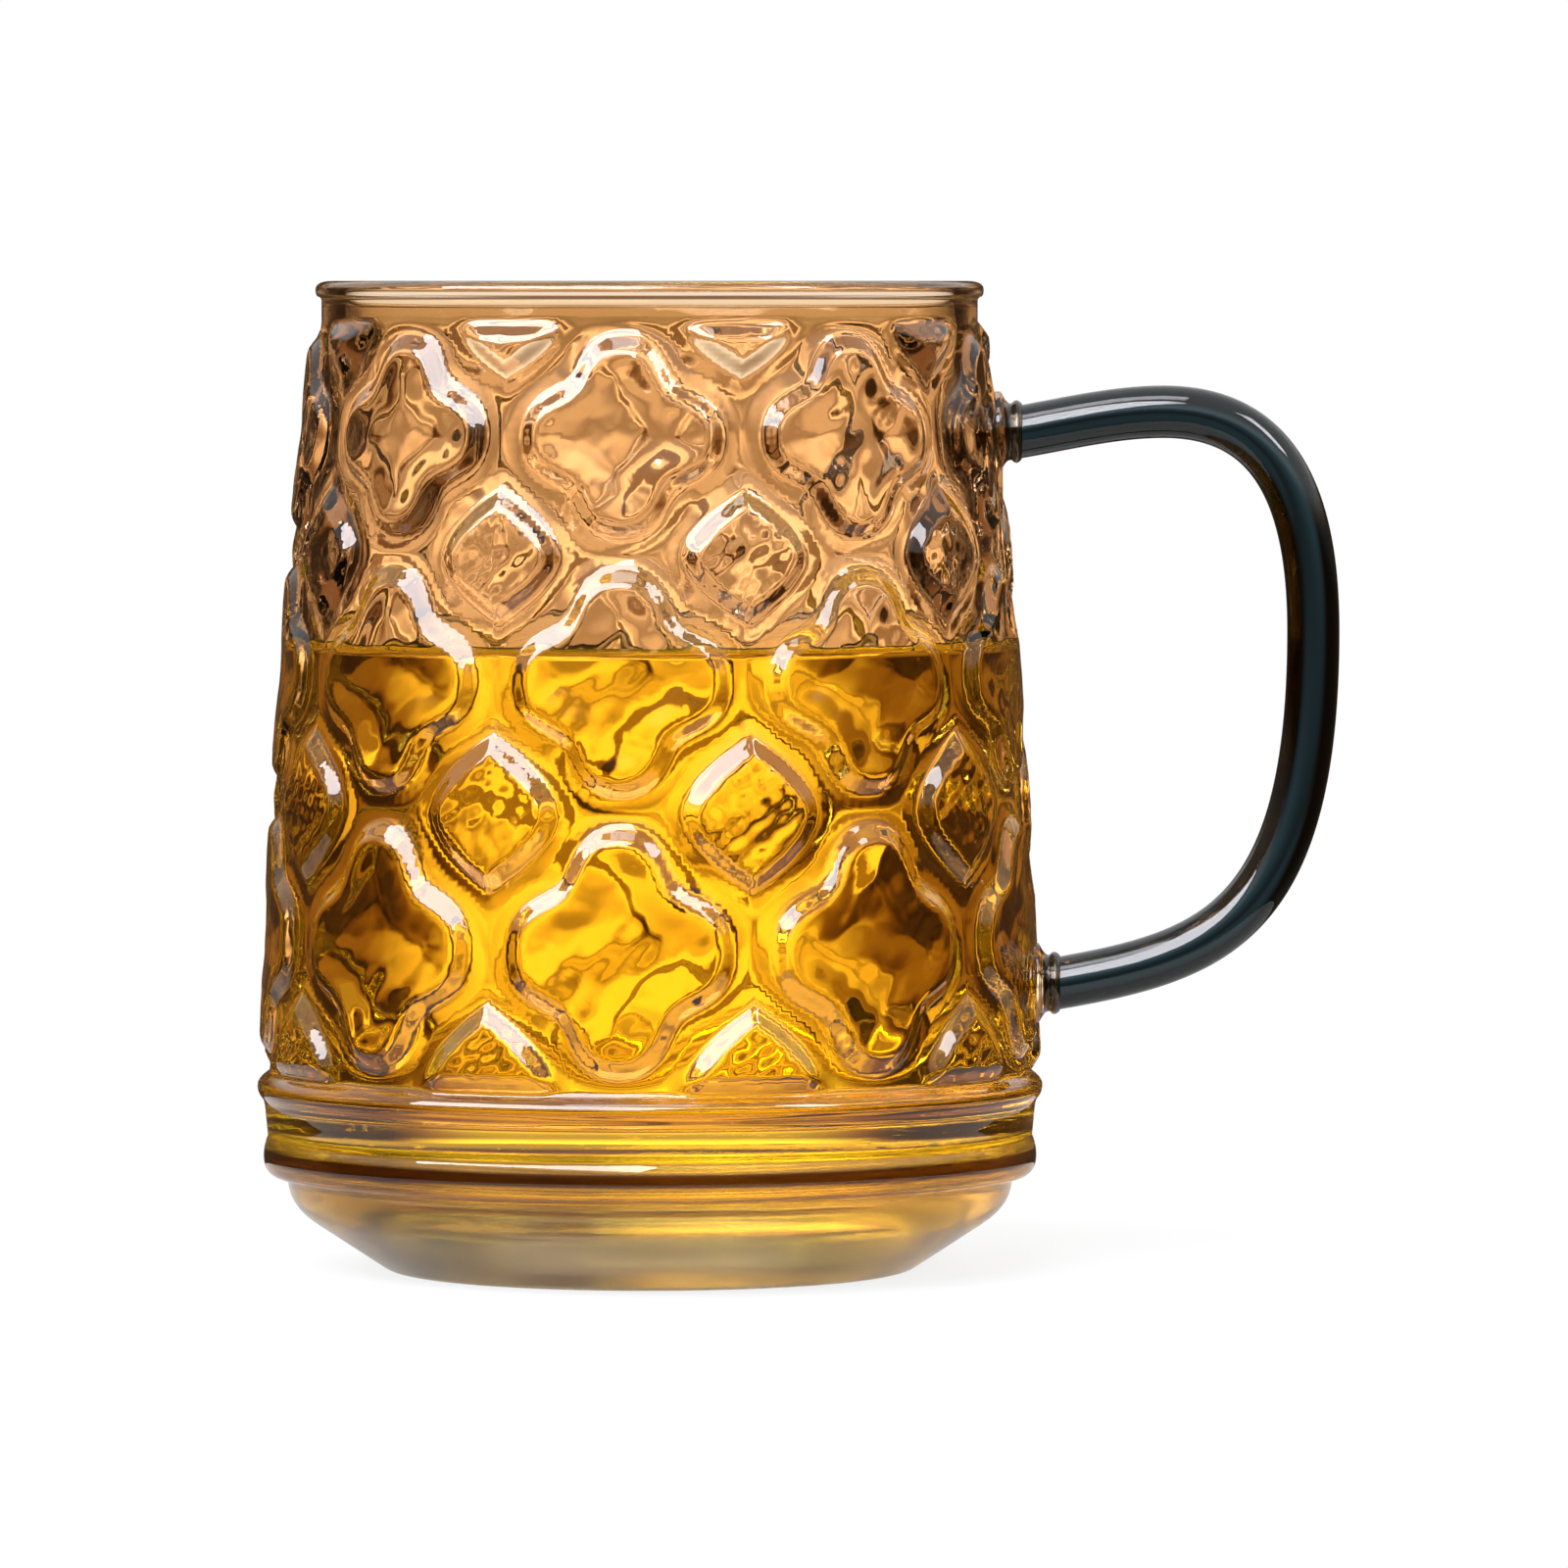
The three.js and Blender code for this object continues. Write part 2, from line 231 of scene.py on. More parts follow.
# Colour of the dim parts of the studio, and the levels between which it turns white
SHADE_COLOUR = (1.0, 0.6, 0.35)
SHADE_LEVELS = (0.1, 1.0)

# How often light may pass through the glass, and be mirrored in it
LIGHT_BOUNCES = 24
MIRROR_BOUNCES = 8

# Lamp panels: name, azimuth and elevation in degrees, size in metres and brightness
LAMP_DISTANCE = 1.0
LAMP_COLOUR = (0.94, 0.94, 1.0)
LAMPS = (
    ("key_left", -39, 42, (1.4, 0.6), 15.0),
    ("key_right", 57, 41, (0.2, 0.4), 14.0),
    ("key_top", -8, 68, (0.5, 0.3), 7.0),
)

# The table under the mug, and the camera
FLOOR_GAP = 0.05 * MM
FLOOR_RADII = (0.13, 0.09, 0.05)
FLOOR_SIDES = 96
FLOOR_GREY = (0.6, 0.6, 0.6)
FLOOR_ROUGHNESS = 0.7
FLOOR_WHITE = 0.85
FLOOR_LEVEL_IN_GLASS = 0.6
CAMERA_DISTANCE = 1.3
CAMERA_AIM = (15.6 * MM, 0.0, 56.5 * MM)
FRAME_WIDTH = 182.5 * MM
SENSOR_WIDTH_MM = 36.0

# Fineness of the meshes
OUTER_COLUMNS = 468
INNER_COLUMNS = 234
LATTICE_ROWS = 144
INNER_ROWS = 40
BEND_STEPS = 6
FOOT_STEPS = 4
BAND_STEPS = 3
FILLET_STEPS = 3
NECK_STEPS = 3
LIP_FILLET_STEPS = 2
ROD_SIDES = 48
ROD_STEPS = 40
COLLAR_STEPS = 18

# Keeps the squared length of an outline's edge above zero
LEAST_SQUARE = 1e-18

# Heights that follow from the sizes
HIP_TOP = CHAMFER_HEIGHT + HIP_HEIGHT
BEAD_TOP = HIP_TOP + BEAD_HEIGHT
BAND_TOP = BEAD_TOP + BAND_HEIGHT
LATTICE_BOTTOM = BAND_TOP + RING_HEIGHT
LATTICE_TOP = BODY_HEIGHT - LIP_HEIGHT - NECK_HEIGHT
LATTICE_HEIGHT = LATTICE_TOP - LATTICE_BOTTOM
HALF_COLUMN = math.pi / COLUMN_COUNT


def wall_radius(height):
    """Outside radius of the wall at the floor of the channels."""
    drop = (LATTICE_TOP - height) / LATTICE_HEIGHT
    taper = (SHOULDER_RADIUS - NECK_RADIUS) * drop
    return NECK_RADIUS + taper + 4 * WALL_BULGE * drop * (1 - drop)


def row_line(row):
    """Height of a line across the lattice, counted in rows from its top."""
    def reach(rows):
        return rows * (1 + ROW_GROWTH * rows / 2)

    return LATTICE_TOP - LATTICE_HEIGHT * reach(row) / reach(ROW_COUNT)


def half_row_height(row):
    return (row_line(row - 0.5) - row_line(row + 0.5)) / 2


def full_turn(count):
    return np.arange(count) * 2 * math.pi / count


def medallion_outline(row):
    """Four full round lobes with hollows between them."""
    half_width = wall_radius(row_line(row)) * HALF_COLUMN - COLUMN_GAP / 2
    half_height = half_row_height(row) - ROW_GAP / 2
    turn = full_turn(OUTLINE_POINTS)
    tip = 1 + LOBE_DEPTH - LOBE_FULLNESS
    reach = (1 + LOBE_DEPTH * np.cos(4 * turn) - LOBE_FULLNESS * np.cos(8 * turn)) / tip
    return np.column_stack([half_width * reach * np.cos(turn), half_height * reach * np.sin(turn)])


def cell_outline(row):
    """Two round sides that meet in a point above and below."""
    half_width = wall_radius(row_line(row)) * HALF_COLUMN - CELL_SIDE_SETBACK
    half_height = half_row_height(row) - CELL_TIP_SETBACK
    turn = full_turn(OUTLINE_POINTS)
    up = np.sin(turn)
    across = np.sign(np.cos(turn)) * (1 - np.abs(up) ** CELL_ROUNDNESS)
    return np.column_stack([half_width * across, half_height * up])


def depth_inside(across, up, outline):
    """How far points lie inside an outline, below zero for those outside it."""
    points = np.column_stack([across, np.broadcast_to(up, across.shape)])[:, None, :]
    start = outline[None, :, :]
    edge = np.roll(outline, -1, axis=0)[None, :, :] - start
    away = points - start
    length = np.maximum((edge**2).sum(2), LEAST_SQUARE)
    share = np.clip((away * edge).sum(2) / length, 0, 1)
    distance = np.sqrt(((away - share[..., None] * edge) ** 2).sum(2).min(1))
    end_up = start[..., 1] + edge[..., 1]
    spans = (start[..., 1] > points[..., 1]) != (end_up > points[..., 1])
    rise = np.where(edge[..., 1] == 0, 1.0, edge[..., 1])
    crossing = start[..., 0] + edge[..., 0] * (points[..., 1] - start[..., 1]) / rise
    inside = (spans & (points[..., 0] < crossing)).sum(1) % 2 == 1
    return np.where(inside, distance, -distance)


def smooth_step(share):
    held = np.clip(share, 0.0, 1.0)
    return held * held * (3 - 2 * held)


def bevel_ramp(depth, width):
    """Rise of a pad from 0 to 1 over a straight bevel of that width, with softly rounded edges."""
    share = depth / width
    return (1 + np.hypot(share, BEVEL_ROUNDING) - np.hypot(share - 1, BEVEL_ROUNDING)) / 2


def waves(across, up, pattern):
    """Gentle uneven swell between -1 and 1: each wave has a length in mm, a heading and a phase."""
    swell = 0.0
    for length, heading, phase in pattern:
        way = across * math.cos(heading) + up * math.sin(heading)
        swell = swell + np.sin(2 * math.pi * way / (length * MM) + phase)
    return swell / len(pattern)


def ring_angles(columns):
    """Angles round the body; they start half a column before the first medallion."""
    start = FIRST_COLUMN_TURN - HALF_COLUMN
    return start + full_turn(columns)


def relief(columns, height, bevel, shift=0.0):
    """Rise of the moulded pattern round the wall at that height, above the floor of its channels."""
    pitch = columns // COLUMN_COUNT
    offset = (2 * np.arange(pitch) / pitch - 1) * HALF_COLUMN + shift
    rise = np.zeros(columns)
    nearest = np.full(pitch, -BODY_HEIGHT)
    angle = ring_angles(columns) + shift
    for row in range(ROW_COUNT):
        centre = row_line(row + 0.5)
        depth = depth_inside(offset * wall_radius(centre), height - centre, medallion_outline(row + 0.5))
        nearest = np.maximum(nearest, depth)
        dish = DISH_DEPTH * smooth_step((depth - BEVEL_WIDTH) / DISH_RUN)
        swirl = SWIRL_HEIGHT * waves(angle * wall_radius(centre), height, SWIRL_WAVES)
        pad = np.tile(bevel_ramp(depth, bevel), COLUMN_COUNT)
        rise = np.maximum(rise, pad * (RELIEF_HEIGHT - np.tile(dish, COLUMN_COUNT) + swirl))
    for row in range(ROW_COUNT + 1):
        centre = row_line(row)
        girth = wall_radius(centre)
        depth = depth_inside((HALF_COLUMN - np.abs(offset)) * girth, height - centre, cell_outline(row))
        nearest = np.maximum(nearest, depth)
        ramp = np.tile(bevel_ramp(depth, bevel), COLUMN_COUNT)
        pebbles = PEBBLE_HEIGHT * waves(angle * girth, height, PEBBLE_WAVES)
        rise = np.maximum(rise, ramp * (RELIEF_HEIGHT + pebbles))
    rise = rise - CHANNEL_DEPTH * np.tile(smooth_step(-nearest / CHANNEL_RUN), COLUMN_COUNT)
    edge = min(LATTICE_TOP - height, height - LATTICE_BOTTOM)
    return rise * bevel_ramp(edge, bevel)


def bend(start, corner, end, steps=BEND_STEPS):
    """Points after the start of a curve that leaves for the corner and arrives at the end."""
    points = []
    for step in range(1, steps + 1):
        t = step / steps
        pull = np.array(start) * (1 - t) ** 2 + np.array(corner) * 2 * t * (1 - t)
        points.append(tuple(pull + np.array(end) * t**2))
    return points


def curve(points, corner, end, steps=BEND_STEPS):
    """Carry a line of points on by a bend round the corner to the end."""
    points.extend(bend(points[-1], corner, end, steps))


def straight(start, end, steps):
    share = np.arange(1, steps + 1)[:, None] / steps
    return [tuple(point) for point in np.array(start) * (1 - share) + np.array(end) * share]


def base_profile():
    """Radius and height of the outside, from the foot's rim to the bottom of the lattice."""
    band = SHOULDER_RADIUS + BAND_SET_OUT
    bead = band + BEAD_OVERHANG
    ring = SHOULDER_RADIUS + RING_OVERHANG
    chamfer_top = FOOT_RADIUS + CHAMFER_RUN
    hip = chamfer_top + HIP_RUN
    slope = CHAMFER_HEIGHT / CHAMFER_RUN
    flat = FOOT_RADIUS - FOOT_EDGE
    points = [(flat / 2, 0.0), (flat - FOOT_EDGE / 2, 0.0), (flat, 0.0)]
    curve(points, (FOOT_RADIUS, 0), (FOOT_RADIUS + FOOT_EDGE, FOOT_EDGE * slope), FOOT_STEPS)
    points.extend(straight(points[-1], (chamfer_top, CHAMFER_HEIGHT), FOOT_STEPS))
    curve(points, (hip, CHAMFER_HEIGHT + HIP_RUN * slope), (hip, HIP_TOP - FILLET))
    curve(points, (hip, HIP_TOP), (hip + BEAD_STEP / 2, HIP_TOP), FILLET_STEPS)
    curve(points, (bead, HIP_TOP), (bead, HIP_TOP + BEAD_HEIGHT / 2))
    curve(points, (bead, BEAD_TOP - BEAD_HEIGHT / 4), (band, BEAD_TOP))
    band_top = band + BAND_FLARE
    band_end = (band_top - BAND_FLARE / 4, BAND_TOP - BAND_HEIGHT / 4)
    points.extend(straight(points[-1], band_end, BAND_STEPS))
    curve(points, (band_top, BAND_TOP), (band_top + FILLET, BAND_TOP + FILLET), FILLET_STEPS)
    curve(points, (ring, BAND_TOP + RING_HEIGHT / 4), (ring, BAND_TOP + RING_HEIGHT / 2))
    curve(points, (ring, LATTICE_BOTTOM - RING_HEIGHT / 4), (SHOULDER_RADIUS, LATTICE_BOTTOM))
    return points


def lip_profile():
    """Radius and height of the neck and the lip, from the top of the lattice to the top of the lip."""
    lip = NECK_RADIUS + LIP_OVERHANG
    lip_bottom = BODY_HEIGHT - LIP_HEIGHT
    lip_middle = BODY_HEIGHT - LIP_HEIGHT / 2
    points = straight((NECK_RADIUS, LATTICE_TOP), (NECK_RADIUS, lip_bottom - FILLET), NECK_STEPS)
    fillet_end = (NECK_RADIUS + FILLET, lip_bottom + FILLET / 2)
    curve(points, (NECK_RADIUS, lip_bottom), fillet_end, LIP_FILLET_STEPS)
    curve(points, (lip, lip_bottom + FILLET / 2), (lip, lip_middle))
    curve(points, (lip, BODY_HEIGHT), (NECK_RADIUS - WALL_THICKNESS / 2, BODY_HEIGHT))
    return points


def inner_lip_profile():
    inner = NECK_RADIUS - WALL_THICKNESS
    top = (NECK_RADIUS - WALL_THICKNESS / 2, BODY_HEIGHT)
    return bend(top, (inner, BODY_HEIGHT), (inner, BODY_HEIGHT - LIP_HEIGHT / 2))


def inner_radius(height):
    """Radius of the inside above the rounded corner of the floor, before it follows the relief."""
    held = np.clip(height, LATTICE_BOTTOM, LATTICE_TOP)
    return float(wall_radius(held) - WALL_THICKNESS)


def inner_profile(top):
    """Radius and height of the inside, from that height down to the middle of the floor."""
    bottom = FLOOR_THICKNESS + INNER_CORNER_RADIUS
    points = [(inner_radius(top), top)]
    for _, height in straight((0, top), (0, bottom), INNER_ROWS):
        points.append((inner_radius(height), height))
    corner_centre = inner_radius(bottom) - INNER_CORNER_RADIUS
    corner_steps = 2 * BEND_STEPS
    for step in range(1, corner_steps + 1):
        turn = math.pi / 2 * step / corner_steps
        reach = corner_centre + INNER_CORNER_RADIUS * math.cos(turn)
        points.append((reach, bottom - INNER_CORNER_RADIUS * math.sin(turn)))
    points.append((corner_centre / 2, FLOOR_THICKNESS))
    return points


def around(columns, radius, height):
    angle = ring_angles(columns)
    spread = np.broadcast_to(radius, angle.shape)
    level = np.full(angle.shape, height)
    return np.column_stack([spread * np.sin(angle), -spread * np.cos(angle), level])


def facing(height):
    """The way the lattice faces at each point of its ring at that height."""
    turn = FACING_STEP / SHOULDER_RADIUS
    ahead = relief(OUTER_COLUMNS, height, BEVEL_WIDTH, turn)
    behind = relief(OUTER_COLUMNS, height, BEVEL_WIDTH, -turn)
    above = relief(OUTER_COLUMNS, height + FACING_STEP, BEVEL_WIDTH) + wall_radius(height + FACING_STEP)
    below = relief(OUTER_COLUMNS, height - FACING_STEP, BEVEL_WIDTH) + wall_radius(height - FACING_STEP)
    sideways = (ahead - behind) / (2 * FACING_STEP)
    upwards = (above - below) / (2 * FACING_STEP)
    angle = ring_angles(OUTER_COLUMNS)
    out_x = np.sin(angle) - sideways * np.cos(angle)
    out_y = -np.cos(angle) - sideways * np.sin(angle)
    way = np.column_stack([out_x, out_y, -upwards])
    return way / np.linalg.norm(way, axis=1)[:, None]


def inner_ring(radius, height, swell=0.0):
    rise = 0.0
    if LATTICE_BOTTOM < height < LATTICE_TOP:
        rise = INNER_FOLLOW * relief(INNER_COLUMNS, height, INNER_SOFTNESS)
    edge = min(LATTICE_TOP - height, height - LATTICE_BOTTOM)
    calm = min(1.0, max(0.0, edge / NECK_HEIGHT))
    across = ring_angles(INNER_COLUMNS) * radius
    ripple = calm * RIPPLE_HEIGHT * waves(across, height, RIPPLE_WAVES)
    return around(INNER_COLUMNS, radius + rise + ripple + swell, height)


def stitch(rings, close_start=None, close_end=None):
    """Vertices and faces of a skin over rings of points.

    A ring may have half or twice as many points as its neighbour.
    """
    vertices = np.vstack(rings)
    starts = np.cumsum([0] + [len(r) for r in rings])
    faces = []
    for index in range(len(rings) - 1):
        a, b = starts[index], starts[index + 1]
        count, other = len(rings[index]), len(rings[index + 1])
        for i in range(min(count, other)):
            after = (i + 1) % min(count, other)
            last = (2 * i + 2) % max(count, other)
            if count == other:
                faces.append((a + i, a + after, b + after, b + i))
            elif count > other:
                faces.append((a + 2 * i, a + 2 * i + 1, b + i))
                faces.append((a + 2 * i + 1, b + after, b + i))
                faces.append((a + 2 * i + 1, a + last, b + after))
            else:
                faces.append((a + i, b + 2 * i + 1, b + 2 * i))
                faces.append((a + i, a + after, b + 2 * i + 1))
                faces.append((a + after, b + last, b + 2 * i + 1))
    extra = []
    for point, ring, turned in ((close_start, 0, True), (close_end, len(rings) - 1, False)):
        if point is None:
            continue
        centre = len(vertices) + len(extra)
        extra.append(point)
        a, count = starts[ring], len(rings[ring])
        for i in range(count):
            pair = (a + i, a + (i + 1) % count)
            faces.append((pair[1], pair[0], centre) if turned else (pair[0], pair[1], centre))
    if extra:
        vertices = np.vstack([vertices, extra])
    return vertices, faces


def skin(name, vertices, faces, material, slot, *nodes):
    """A smooth piece that rides on the body and stands for those CAD nodes."""
    mesh = bpy.data.meshes.new(name)
    mesh.from_pydata([tuple(v) for v in vertices], [], faces)
    mesh.validate()
    mesh.polygons.foreach_set("use_smooth", [True] * len(mesh.polygons))
    mesh.materials.append(material)
    piece = bpy.data.objects.new(name, mesh)
    bpy.context.scene.collection.objects.link(piece)
    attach(piece, "root")
    if nodes:
        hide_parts(*nodes)
    return piece


def feed(tree, socket, value):
    """Set a socket to a number, or link it to what another node gives."""
    if isinstance(value, (int, float)):
        socket.default_value = value
    else:
        tree.links.new(value, socket)


def maths(tree, operation, *values):
    node = tree.nodes.new("ShaderNodeMath")
    node.operation = operation
    for socket, value in zip(node.inputs, values):
        feed(tree, socket, value)
    return node.outputs["Value"]


def remap(tree, value, span, start, end, easing="LINEAR"):
    """Lead from the start to the end while the value runs over its span, and hold them outside it."""
    node = tree.nodes.new("ShaderNodeMapRange")
    node.interpolation_type = easing
    sockets = ("Value", "From Min", "From Max", "To Min", "To Max")
    for key, number in zip(sockets, (value, *span, start, end)):
        feed(tree, node.inputs[key], number)
    return node.outputs["Result"]


def glass(name, shades, ior, ripple_scale, ripple_strength):
    """Clear glass, coloured and polished by height, with a faint ripple. For the amber, the colour by
    height holds painted light and shade.
    """
    material = bpy.data.materials.new(name)
    material.use_nodes = True
    tree = material.node_tree
    nodes, links = tree.nodes, tree.links
    shader = nodes["Principled BSDF"]
    shader.inputs["Transmission Weight"].default_value = 1.0
    shader.inputs["IOR"].default_value = ior

    place = nodes.new("ShaderNodeTexCoord")
    cloud = nodes.new("ShaderNodeTexNoise")
    cloud.inputs["Scale"].default_value = ripple_scale
    cloud.inputs["Detail"].default_value = CLOUD_DETAIL
    links.new(place.outputs["Object"], cloud.inputs["Vector"])

    split = nodes.new("ShaderNodeSeparateXYZ")
    links.new(place.outputs["Object"], split.inputs["Vector"])
    climb = maths(tree, "DIVIDE", split.outputs["Z"], BODY_HEIGHT)
    shade = nodes.new("ShaderNodeValToRGB")
    links.new(climb, shade.inputs["Fac"])
    stops = shade.color_ramp.elements
    stops.remove(stops[1])
    for index, (height, colour, roughness) in enumerate(shades):
        stop = stops.new(height / BODY_HEIGHT) if index else stops[0]
        stop.color = (*colour, roughness)

    swing = remap(tree, cloud.outputs["Fac"], (0.0, 1.0), 1 - 2 * TINT_SWING, 1.0)
    tint = nodes.new("ShaderNodeMix")
    tint.data_type = "RGBA"
    tint.blend_type = "MULTIPLY"
    tint.inputs["Factor"].default_value = 1.0
    links.new(shade.outputs["Color"], tint.inputs["A"])
    links.new(swing, tint.inputs["B"])
    links.new(tint.outputs["Result"], shader.inputs["Base Color"])

    polish = remap(tree, cloud.outputs["Fac"], CLOUD_SPAN, *POLISH_SWING)
    links.new(maths(tree, "MULTIPLY", shade.outputs["Alpha"], polish), shader.inputs["Roughness"])

    ripple = nodes.new("ShaderNodeBump")
    ripple.inputs["Strength"].default_value = ripple_strength
    ripple.inputs["Distance"].default_value = SURFACE_RIPPLE_HEIGHT
    links.new(cloud.outputs["Fac"], ripple.inputs["Height"])
    links.new(ripple.outputs["Normal"], shader.inputs["Normal"])
    return material


def deep_colour(material, absorb, density):
    """Colour that deepens with the thickness of the glass."""
    nodes = material.node_tree.nodes
    depth = nodes.new("ShaderNodeVolumeAbsorption")
    depth.inputs["Color"].default_value = (*absorb, 1.0)
    depth.inputs["Density"].default_value = density
    material.node_tree.links.new(depth.outputs["Volume"], nodes["Material Output"].inputs["Volume"])
    return material


def body_piece(outside, inside):
    """The blown body: an amber outside up to the top of the lip, and clear glass inside it."""
    rings = [around(INNER_COLUMNS, r, z) for r, z in base_profile()]
    lattice_start = sum(len(ring) for ring in rings)
    ways = []
    for _, height in straight((0, LATTICE_BOTTOM), (0, LATTICE_TOP), LATTICE_ROWS)[:-1]:
        rise = relief(OUTER_COLUMNS, height, BEVEL_WIDTH)
        rings.append(around(OUTER_COLUMNS, wall_radius(height) + rise, height))
        ways.append(facing(height))
    rings.append(around(INNER_COLUMNS, NECK_RADIUS, LATTICE_TOP))
    rings.extend(around(INNER_COLUMNS, r, z) for r, z in lip_profile())
    outer_faces = len(stitch(rings)[1])
    rings.extend(around(INNER_COLUMNS, r, z) for r, z in inner_lip_profile())
    rings.extend(inner_ring(r, z) for r, z in inner_profile(LATTICE_TOP + NECK_HEIGHT))
    vertices, faces = stitch(rings, (0, 0, 0), (0, 0, FLOOR_THICKNESS))
    piece = skin("mug_body_glass", vertices, faces, outside, "amber_glass", "mug_body")
    piece.data.materials.append(inside)
    slots = np.zeros(len(faces), dtype=int)
    slots[outer_faces:] = 1
    foot_fan = slice(-2 * INNER_COLUMNS, -INNER_COLUMNS)
    slots[foot_fan] = 0
    piece.data.polygons.foreach_set("material_index", slots)
    normals = np.zeros(vertices.shape)
    lattice = np.vstack(ways)
    normals[lattice_start : lattice_start + len(lattice)] = lattice
    piece.data.normals_split_custom_set_from_vertices([tuple(way) for way in normals])


def drink_piece(material):
    """The drink fills the cup to its level, with its edge drawn up a little where it wets the glass."""
    wall = inner_radius(DRINK_LEVEL)
    rings = []
    for step in range(MENISCUS_STEPS + 1):
        share = step / MENISCUS_STEPS
        reach = wall - MENISCUS_WIDTH * (1 - share)
        rings.append(inner_ring(reach, DRINK_LEVEL + MENISCUS_HEIGHT * share**3, DRINK_OVERLAP * share))
    for radius, height in inner_profile(DRINK_LEVEL + MENISCUS_HEIGHT)[1:]:
        sink = DRINK_OVERLAP if height < FLOOR_THICKNESS + INNER_CORNER_RADIUS / 2 else 0.0
        rings.append(inner_ring(radius, height - sink, DRINK_OVERLAP))
    rings.reverse()
    rings.append(around(INNER_COLUMNS, wall / 2, DRINK_LEVEL))
    vertices, faces = stitch(rings, (0, 0, FLOOR_THICKNESS - DRINK_OVERLAP), (0, 0, DRINK_LEVEL))
    skin("drink", vertices, faces, material, None)


# How far the flat seats of the welds lie from the body's axis
UPPER_SEAT = wall_radius(UPPER_ROOT_HEIGHT) + RELIEF_HEIGHT
LOWER_SEAT = wall_radius(LOWER_ROOT_HEIGHT) + RELIEF_HEIGHT


def bezier(a, b, c, d, steps):
    t = np.linspace(0, 1, steps + 1)[1:, None]
    a, b, c, d = (np.array(p) for p in (a, b, c, d))
    return (1 - t) ** 3 * a + 3 * (1 - t) ** 2 * t * b + 3 * (1 - t) * t**2 * c + t**3 * d


def handle_line():
    """Points of x and z along the rod's centre, from the upper seat to the lower one."""
    slope = np.array([math.cos(ARM_SLOPE), math.sin(ARM_SLOPE)])
    out = np.array([1, 0])
    rise = np.array([0, 1])
    upper = np.array([UPPER_SEAT + COLLAR_LENGTH, UPPER_ROOT_HEIGHT])
    lower = np.array([LOWER_SEAT + COLLAR_LENGTH, LOWER_ROOT_HEIGHT])
    arch = np.array([upper[0] + UPPER_ARM_LENGTH, UPPER_ROOT_HEIGHT + ARCH_RISE])
    grip = np.array([cad_high.x - ROD_RADIUS, GRIP_HEIGHT])
    arm_pull = UPPER_ARM_LENGTH / 3
    corner_out = CORNER_PULL * (grip[0] - arch[0])
    corner_rise = CORNER_PULL * (arch[1] - grip[1])
    lower_drop = LOWER_GRIP_PULL * (grip[1] - lower[1])
    lower_out = LOWER_ARM_PULL * (grip[0] - lower[0])
    return np.vstack([
        [upper - slope * COLLAR_LENGTH],
        [upper],
        bezier(upper, upper + slope * arm_pull, arch - out * arm_pull, arch, ROD_STEPS),
        bezier(arch, arch + out * corner_out, grip + rise * corner_rise, grip, ROD_STEPS),
        bezier(grip, grip - rise * lower_drop, lower + slope * lower_out, lower, 2 * ROD_STEPS),
        [lower - slope * COLLAR_LENGTH],
    ])


def handle_piece(material):
    line = handle_line()
    ahead = np.gradient(line, axis=0)
    ahead /= np.linalg.norm(ahead, axis=1)[:, None]
    turn = full_turn(ROD_SIDES)
    side = ROD_RADIUS * np.cos(turn)
    rings = []
    for (x, z), (along_x, along_z) in zip(line, ahead):
        ring = [x - along_z * side, -ROD_RADIUS * np.sin(turn), z + along_x * side]
        rings.append(np.column_stack(ring))
    first, last = line[0], line[-1]
    vertices, faces = stitch(rings, (first[0], 0, first[1]), (last[0], 0, last[1]))
    skin("handle_rod", vertices, faces, material, "smoke_glass", "handle")


def collar_piece(name, seat, height, material, node):
    """A gob of glass that spreads where it was pressed on the wall, with a round ring at the rod."""
    turn = full_turn(ROD_SIDES)
    neck = ROD_RADIUS + COLLAR_LAND
    ring_start = COLLAR_LENGTH / 2
    rings = []
    for step in range(COLLAR_STEPS + 1):
        along = -WELD_DEPTH + (COLLAR_LENGTH + WELD_DEPTH) * step / COLLAR_STEPS
        spread = max(0.0, 1 - max(0.0, along) / ring_start)
        bead = math.sin(math.pi * max(0.0, along - ring_start) / ring_start)
        reach = neck + COLLAR_FLARE * spread**2 + COLLAR_RING * bead
        level = np.full(turn.shape, seat + along)
        rings.append(np.column_stack([level, -reach * np.sin(turn), height + reach * np.cos(turn)]))
    start = (seat - WELD_DEPTH, 0, height)
    end = (seat + COLLAR_LENGTH, 0, height)
    vertices, faces = stitch(rings, start, end)
    skin(name, vertices, faces, material, "weld_glass", node)


